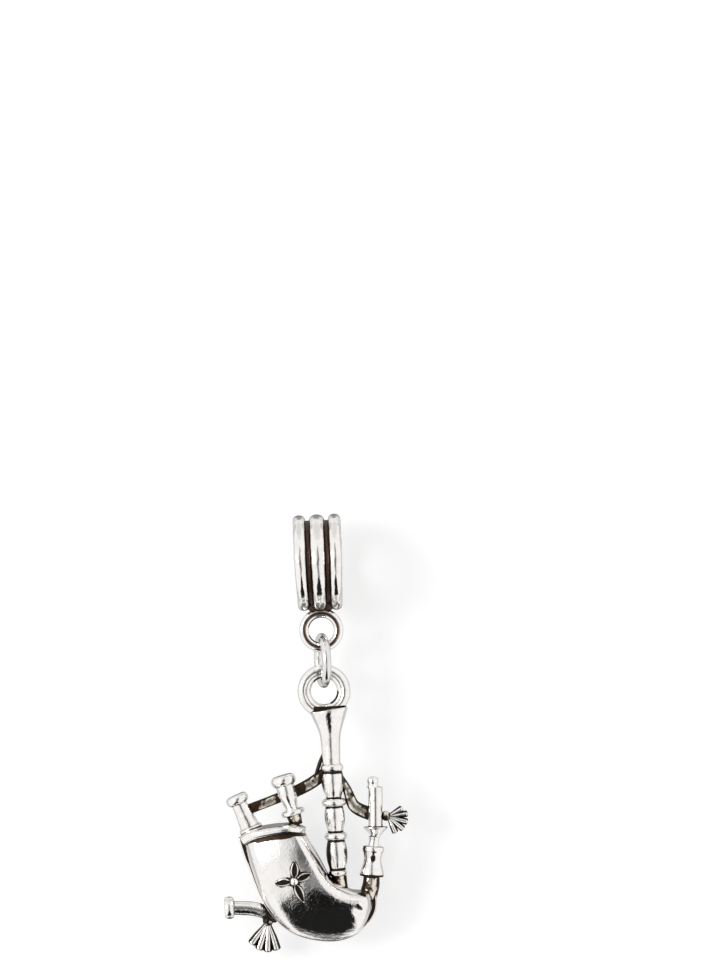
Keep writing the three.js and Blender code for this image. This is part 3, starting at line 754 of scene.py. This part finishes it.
def make_piece(node, body, slot, shapes, place=(0, 0, 0), wander=0.012, finish=None):
    """One Blender piece that stands for one CAD node. It has its slot's finish unless one is given,
    and its surface is uneven by about wander mm."""
    shapes = shapes if isinstance(shapes, list) else [shapes]
    points, faces, oxide_and_shade = [], [], []
    for shape in shapes:
        moved = shape.points + place
        triangles = [face[:3] for face in shape.faces]
        triangles += [[face[0], face[2], face[3]] for face in shape.faces if len(face) > 3]
        a, b, c = (moved[corner] - moved.mean(0) for corner in np.transpose(triangles))
        volume = np.einsum("ij,ij->", a, np.cross(b, c))
        order = 1 if volume > 0 else -1  # so that the faces point out
        first = sum(len(part) for part in points)
        faces += [[first + at for at in face[::order]] for face in shape.faces]
        points.append(moved)
        oxide_and_shade.append(shape.oxide_and_shade)
    points = np.concatenate(points)
    mesh = bpy.data.meshes.new(f"{node}_fine")
    mesh.from_pydata((points * MM).tolist(), [], faces)
    mesh.update()
    normals = np.zeros(len(points) * 3)
    mesh.vertices.foreach_get("normal", normals)
    normals = normals.reshape(-1, 3)
    bend = np.array([noise.noise(Vector(p) * 0.9) + 0.4 * noise.noise(Vector(p) * 2.3) for p in points])
    points = points + normals * (wander * bend)[:, None]
    mesh.vertices.foreach_set("co", (points * MM).ravel())
    mesh.polygons.foreach_set("use_smooth", np.ones(len(mesh.polygons), bool))
    mesh.materials.append(FINISHES[finish or slot])
    mesh.update()
    piece = bpy.data.objects.new(f"{node}_fine", mesh)
    bpy.context.scene.collection.objects.link(piece)
    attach(piece, body)
    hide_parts(node)
    pieces.append({"mesh": mesh, "body": body, "points": points, "normals": normals, "faces": faces,
                   "oxide_and_shade": np.concatenate(oxide_and_shade)})


def upward_ways(count):
    """Directions in a spiral over the upper hemisphere, denser towards its top."""
    golden_angle = math.pi * (3 - math.sqrt(5))
    lowest = 0.97  # stays a little above level
    ways = []
    for at in range(count):
        share = lowest * (at + 0.5) / count
        up, out = math.sqrt(1 - share), math.sqrt(share)
        ways.append((out * math.cos(at * golden_angle), out * math.sin(at * golden_angle), up))
    return np.array(ways)


def settle_cavity_and_shade():
    """Gives every piece its cavity_and_shade attribute: how much of the space near a point is closed in,
    raised to the piece's own marks of oxide and painted shade.
    """
    reach, lift = 0.85, 0.02  # how far the rays go, and how far above the surface they start
    bare, darkened = 0.1, 0.5  # how closed in clean metal may be, and from where it is all dark
    ways = upward_ways(16)
    for body in {piece["body"] for piece in pieces}:
        own = [piece for piece in pieces if piece["body"] == body]
        corners, faces = [], []
        for piece in own:
            first = len(corners)
            corners += piece["points"].tolist()
            faces += [[first + at for at in face] for face in piece["faces"]]
        tree = BVHTree.FromPolygons(corners, faces)
        for piece in own:
            normals = piece["normals"]
            side = np.cross(normals, np.where(abs(normals[:, :1]) < 0.8, (1.0, 0, 0), (0, 1.0, 0)))
            side /= np.linalg.norm(side, axis=1)[:, None] + 1e-9
            other = np.cross(normals, side)
            closed = np.zeros(len(normals))
            starts = [Vector(p) for p in piece["points"] + normals * lift]
            for way in ways:
                aims = side * way[0] + other * way[1] + normals * way[2]
                for at, (origin, aim) in enumerate(zip(starts, aims)):
                    distance = tree.ray_cast(origin, Vector(aim), reach)[3]
                    if distance is not None:
                        closed[at] += 1 - 0.6 * distance / reach
            closed /= len(ways)
            edges = np.zeros(len(piece["mesh"].edges) * 2, int)
            piece["mesh"].edges.foreach_get("vertices", edges)
            a, b = edges.reshape(-1, 2).T
            valence = np.bincount(a, minlength=len(closed)) + np.bincount(b, minlength=len(closed))
            for _ in range(2):
                near = np.bincount(a, closed[b], len(closed)) + np.bincount(b, closed[a], len(closed))
                closed = 0.5 * closed + 0.5 * near / np.maximum(valence, 1)
            # crevice oxide, raised to the piece's marks, some of which are painted shade
            cavity_and_shade = np.maximum(smooth(closed, bare, darkened), piece["oxide_and_shade"])
            attribute = piece["mesh"].attributes.new("cavity_and_shade", "FLOAT", "POINT")
            attribute.data.foreach_set("value", cavity_and_shade.astype(np.float32))


def build_object():
    """Every piece of the bail, the ring and the charm. The oxide and painted shade come after, in
    settle_cavity_and_shade.
    """
    make_piece("bail_tube", "bail", "bail_metal", bail_tube(), wander=0.03)
    make_piece("bail_loop", "bail", "bail_metal", bail_loop())
    make_piece("jump_ring", "ring", "ring_wire", jump_ring(), wander=0.005)

    front = bag_front()
    tree = BVHTree.FromPolygons(front.points.tolist(), front.faces)

    def surface(x, z):
        """y of the bag's front under a point."""
        hit = tree.ray_cast(Vector((x, -10, z)), Vector((0, 1, 0)))[0]
        return hit.y

    cast = {
        "hanging_loop": hanging_loop(),
        "bass_drone_bell": drone_bell(),
        "bag_front": front,
        "bag_back": bag_back(),
        "bag_band": bag_band(),
        "flower_stud": flower_stud(surface),
        **bass_drone_parts(), **tenor_parts(), **blowpipe_parts(), **chanter_parts(),
    }
    for side, (degrees, length) in PETALS.items():
        leaf = petal(degrees, length, surface)
        make_piece(f"flower_petal_{side}", "bagpipes", "oxidised_silver", leaf, CHARM, finish="cast_silver")
    dark = cords()
    dark["left_tassel_knot"], cast["left_tassel_strands"] = tassel(
        (-6.6, -22.75), 0.55, (-6.6, -22.9), CHANTER_Y,
        [(-130, 2.6), (-111, 2.75), (-93, 2.8), (-75, 2.75)], 0.45, 0.35)
    dark["right_tassel_knot"], cast["right_tassel_strands"] = tassel(
        (5.65, -12.75), 0.5, (5.8, -12.8), CORD_Y,
        [(26, 1.55), (5, 1.9), (-18, 1.95), (-41, 1.9), (-66, 1.7)], 0.34, 0.0)
    for name in ("blowpipe_elbow", "bass_drone_stock", "right_tenor_stock"):
        dark[name] = cast.pop(name)
    for slot, shapes in (("cast_silver", cast), ("oxidised_silver", dark)):
        for node, shape in shapes.items():
            make_piece(node, "bagpipes", slot, shape, CHARM)


# ---- studio ----

VIEW_HEIGHT = 96.0  # mm of the object's plane that the picture spans
CAMERA_DISTANCE = 500.0
CAMERA_ROLL = math.radians(2.5)
AIM = (4.52, 0.0, 8.05)
BACKDROP_Y = 5.0
FLOOR_Z = -60.0


def camera():
    """A long lens straight in front, rolled a little."""
    data = bpy.data.cameras.new("camera")
    data.sensor_fit = "AUTO"
    data.sensor_width = 36.0
    data.lens = data.sensor_width * CAMERA_DISTANCE / VIEW_HEIGHT
    data.clip_start, data.clip_end = 0.01, 10.0  # metres
    view = bpy.data.objects.new("camera", data)
    bpy.context.scene.collection.objects.link(view)
    right = (math.cos(CAMERA_ROLL), 0, -math.sin(CAMERA_ROLL))
    up = (math.sin(CAMERA_ROLL), 0, math.cos(CAMERA_ROLL))
    turn = Matrix((right, up, (0, -1, 0))).transposed().to_4x4()
    place = Vector((AIM[0], AIM[1] - CAMERA_DISTANCE, AIM[2])) * MM
    view.matrix_world = Matrix.Translation(place) @ turn
    bpy.context.scene.camera = view


def sweep():
    """A white backdrop close behind the object that curves into a pale floor far below it."""
    width, depth, top, bend = 900.0, 900.0, 500.0, 30.0
    line = [(BACKDROP_Y, top), (BACKDROP_Y, FLOOR_Z + bend)]
    for angle in np.linspace(0, math.pi / 2, 13)[1:]:
        line.append((BACKDROP_Y - bend + bend * math.cos(angle), FLOOR_Z + bend - bend * math.sin(angle)))
    line.append((BACKDROP_Y - depth, FLOOR_Z))
    points = [(side * width / 2 * MM, y * MM, z * MM) for y, z in line for side in (-1, 1)]
    faces = [(2 * at, 2 * at + 2, 2 * at + 3, 2 * at + 1) for at in range(len(line) - 1)]
    mesh = bpy.data.meshes.new("sweep")
    mesh.from_pydata(points, [], faces)
    mesh.polygons.foreach_set("use_smooth", np.ones(len(mesh.polygons), bool))
    mesh.update()
    paper = bpy.data.materials.new("paper")
    paper.use_nodes = True
    nodes = Nodes(paper.node_tree)
    place = nodes.add("ShaderNodeTexCoord").outputs["Object"]
    tooth = nodes.noise(place, 900.0, 3)
    colour = nodes.mix(tooth, (0.49, 0.49, 0.49, 1), (0.51, 0.51, 0.51, 1))
    matt = nodes.add("ShaderNodeBsdfDiffuse", {"Color": colour})
    glow = nodes.add("ShaderNodeEmission", {"Color": (1.0, 1.0, 1.0, 1), "Strength": 0.57})
    white = nodes.add("ShaderNodeAddShader", {0: matt.outputs[0], 1: glow.outputs[0]})
    clear = nodes.add("ShaderNodeBsdfTransparent")
    behind = nodes.add("ShaderNodeNewGeometry").outputs["Backfacing"]
    one_sided = nodes.add("ShaderNodeMixShader", {0: behind, 1: white.outputs[0], 2: clear.outputs[0]})
    nodes.add("ShaderNodeOutputMaterial", {"Surface": one_sided.outputs[0]})
    mesh.materials.append(paper)
    paper_sweep = bpy.data.objects.new("sweep", mesh)
    bpy.context.scene.collection.objects.link(paper_sweep)
    paper_sweep.visible_glossy = False
    paper_sweep.visible_diffuse = False


def studio_light():
    """A white tent with a dark slot for the lens and a dark gap below it, as the metal sees it,
    and a soft key light. Each dark part is a mask over directions, with soft edges."""
    world = bpy.data.worlds.new("studio")
    world.use_nodes = True
    nodes = Nodes(world.node_tree)
    way = nodes.add("ShaderNodeTexCoord").outputs["Generated"]
    x, y, z = nodes.add("ShaderNodeSeparateXYZ", {0: way}).outputs
    degrees = 180 / math.pi  # in a radian: azimuth, height and off_axis are in degrees
    towards = nodes.math("MULTIPLY", y, -1.0)
    azimuth = nodes.math("ABSOLUTE", nodes.math("MULTIPLY", nodes.math("ARCTAN2", x, towards), degrees))
    back_azimuth = nodes.math("SUBTRACT", 180.0, azimuth)
    height = nodes.math("MULTIPLY", nodes.math("ARCSINE", z), degrees)
    tall = nodes.math("ABSOLUTE", height)

    def inside(value, edge, soft):
        """1 below edge, 0 above edge + soft."""
        return nodes.smooth(value, edge + soft, edge)

    def overlap(*masks):
        """The part of the room that all of the masks share."""
        shared = masks[0]
        for mask in masks[1:]:
            shared = nodes.math("MULTIPLY", shared, mask)
        return shared

    def darken(light, mask, amount):
        cover = nodes.math("MULTIPLY", mask, amount)
        return nodes.math("MULTIPLY", light, nodes.math("SUBTRACT", 1.0, cover))

    slot = overlap(inside(azimuth, 5.0, 9.0), inside(tall, 34.0, 16.0))
    off_axis = nodes.math("MULTIPLY", nodes.math("ARCCOSINE", towards), degrees)
    lens = inside(off_axis, 8.0, 9.0)
    person = inside(off_axis, 14.0, 26.0)
    depth = nodes.math("DIVIDE", nodes.math("ADD", height, 27.0), -60.0, clamp=True)
    half_gap = nodes.math("ADD", 0.1, nodes.math("MULTIPLY", depth, 0.42))
    outside = nodes.math("SUBTRACT", nodes.math("ABSOLUTE", x), half_gap)
    in_front = inside(y, 0.0, 0.02)
    gap = overlap(inside(outside, 0.0, 0.06), inside(height, -31.0, 6.0),
                  nodes.smooth(height, -89.0, -87.0), in_front)
    rim = nodes.smooth(y, 0.4, 0.95)
    off_wing = nodes.math("ABSOLUTE", nodes.math("SUBTRACT", azimuth, 128.0))
    wings = overlap(inside(off_wing, 6.0, 9.0), inside(tall, 45.0, 20.0))
    ceiling = nodes.smooth(height, 50.0, 75.0)
    back_slot = overlap(inside(back_azimuth, 7.0, 10.0), inside(tall, 40.0, 16.0))
    back_gap = overlap(inside(back_azimuth, 20.0, 14.0), inside(height, -34.0, 8.0))

    light = 0.98
    for mask, amount in ((slot, 0.7), (lens, 0.5), (person, 0.14), (gap, 0.985), (rim, 0.3),
                         (wings, 0.38), (ceiling, 0.22), (back_slot, 0.6), (back_gap, 0.85)):
        light = darken(light, mask, amount)
    seen = nodes.add("ShaderNodeBackground", {"Color": (1.0, 1.0, 1.0, 1), "Strength": 1.0})
    lit = nodes.add("ShaderNodeBackground", {"Color": (1.0, 1.0, 1.0, 1), "Strength": light})
    camera_ray = nodes.add("ShaderNodeLightPath").outputs["Is Camera Ray"]
    both = nodes.add("ShaderNodeMixShader", {0: camera_ray, 1: lit.outputs[0], 2: seen.outputs[0]})
    nodes.add("ShaderNodeOutputWorld", {"Surface": both.outputs[0]})
    bpy.context.scene.world = world

    key = bpy.data.lights.new("key", "SUN")
    key.energy = 1.1
    key.angle = math.radians(24)
    lamp = bpy.data.objects.new("key", key)
    bpy.context.scene.collection.objects.link(lamp)
    falls = Vector((1.1, 1.0, -0.25))
    lamp.rotation_mode = "QUATERNION"
    lamp.rotation_quaternion = falls.to_track_quat("-Z", "Y")


build_object()
settle_cavity_and_shade()
camera()
sweep()
studio_light()
bpy.context.scene.view_settings.view_transform = "Standard"
